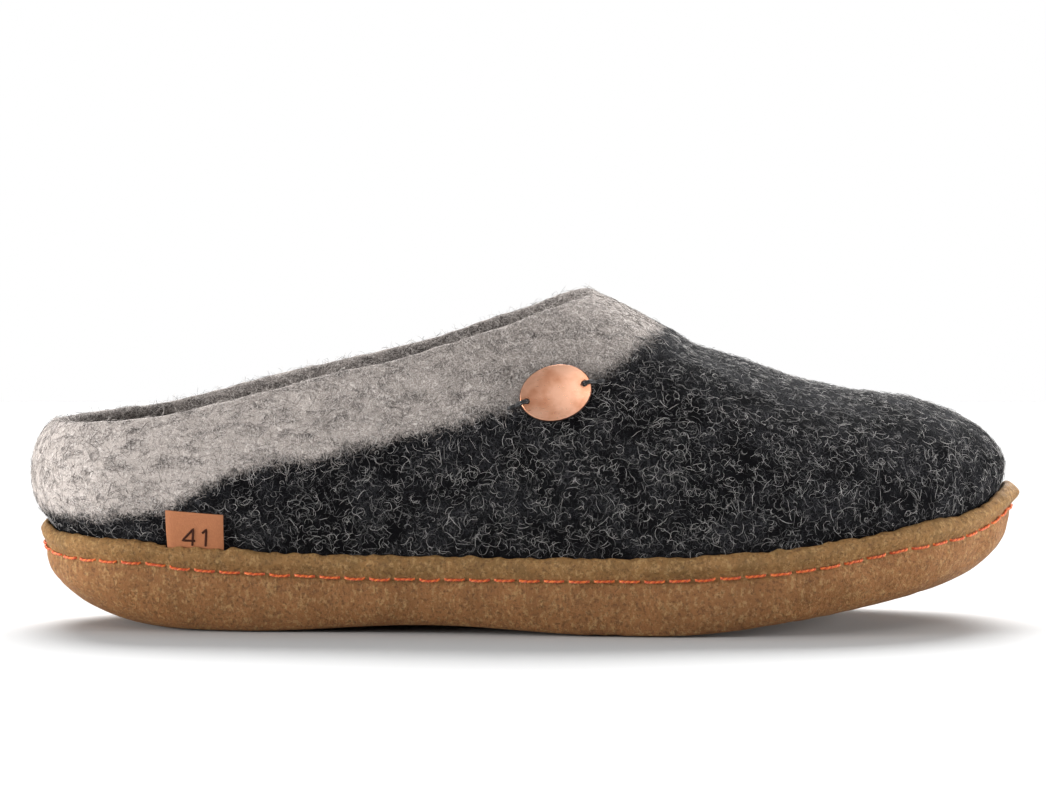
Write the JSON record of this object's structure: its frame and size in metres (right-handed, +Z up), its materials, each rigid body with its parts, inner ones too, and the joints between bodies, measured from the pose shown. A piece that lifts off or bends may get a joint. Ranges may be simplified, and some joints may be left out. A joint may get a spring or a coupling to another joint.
{
  "type": "felt slipper",
  "caption": "Right foot clog-shaped house slipper: seamless two-tone wool felt upper, low open heel collar, stitched crepe rubber cup sole.",
  "frame": {"origin": "on the floor, under the middle of the slipper's bounding box", "axes": "+X from heel to toe, +Y to the inner side of the foot, -Y to its outer side, +Z up"},
  "size_m": [0.287, 0.1048, 0.0975],
  "materials": {
    "crepe_rubber": "natural amber crepe rubber, trimmed and lightly mottled, satin",
    "upper_felt": "thick charcoal wool felt with a light grey band round the collar, hairy and matt",
    "insole_felt": "pressed warm grey wool felt, matt",
    "tag_leather": "tan vegetable-tanned leather with burned size numerals",
    "badge_copper": "plain copper disc, brushed, darker at its edge and holes"
  },
  "bodies": {
    "root": {"outsole": "crepe_rubber", "upper": "upper_felt", "insole": "insole_felt", "size_tag": "tag_leather", "badge": "badge_copper"}
  },
  "joints": []
}
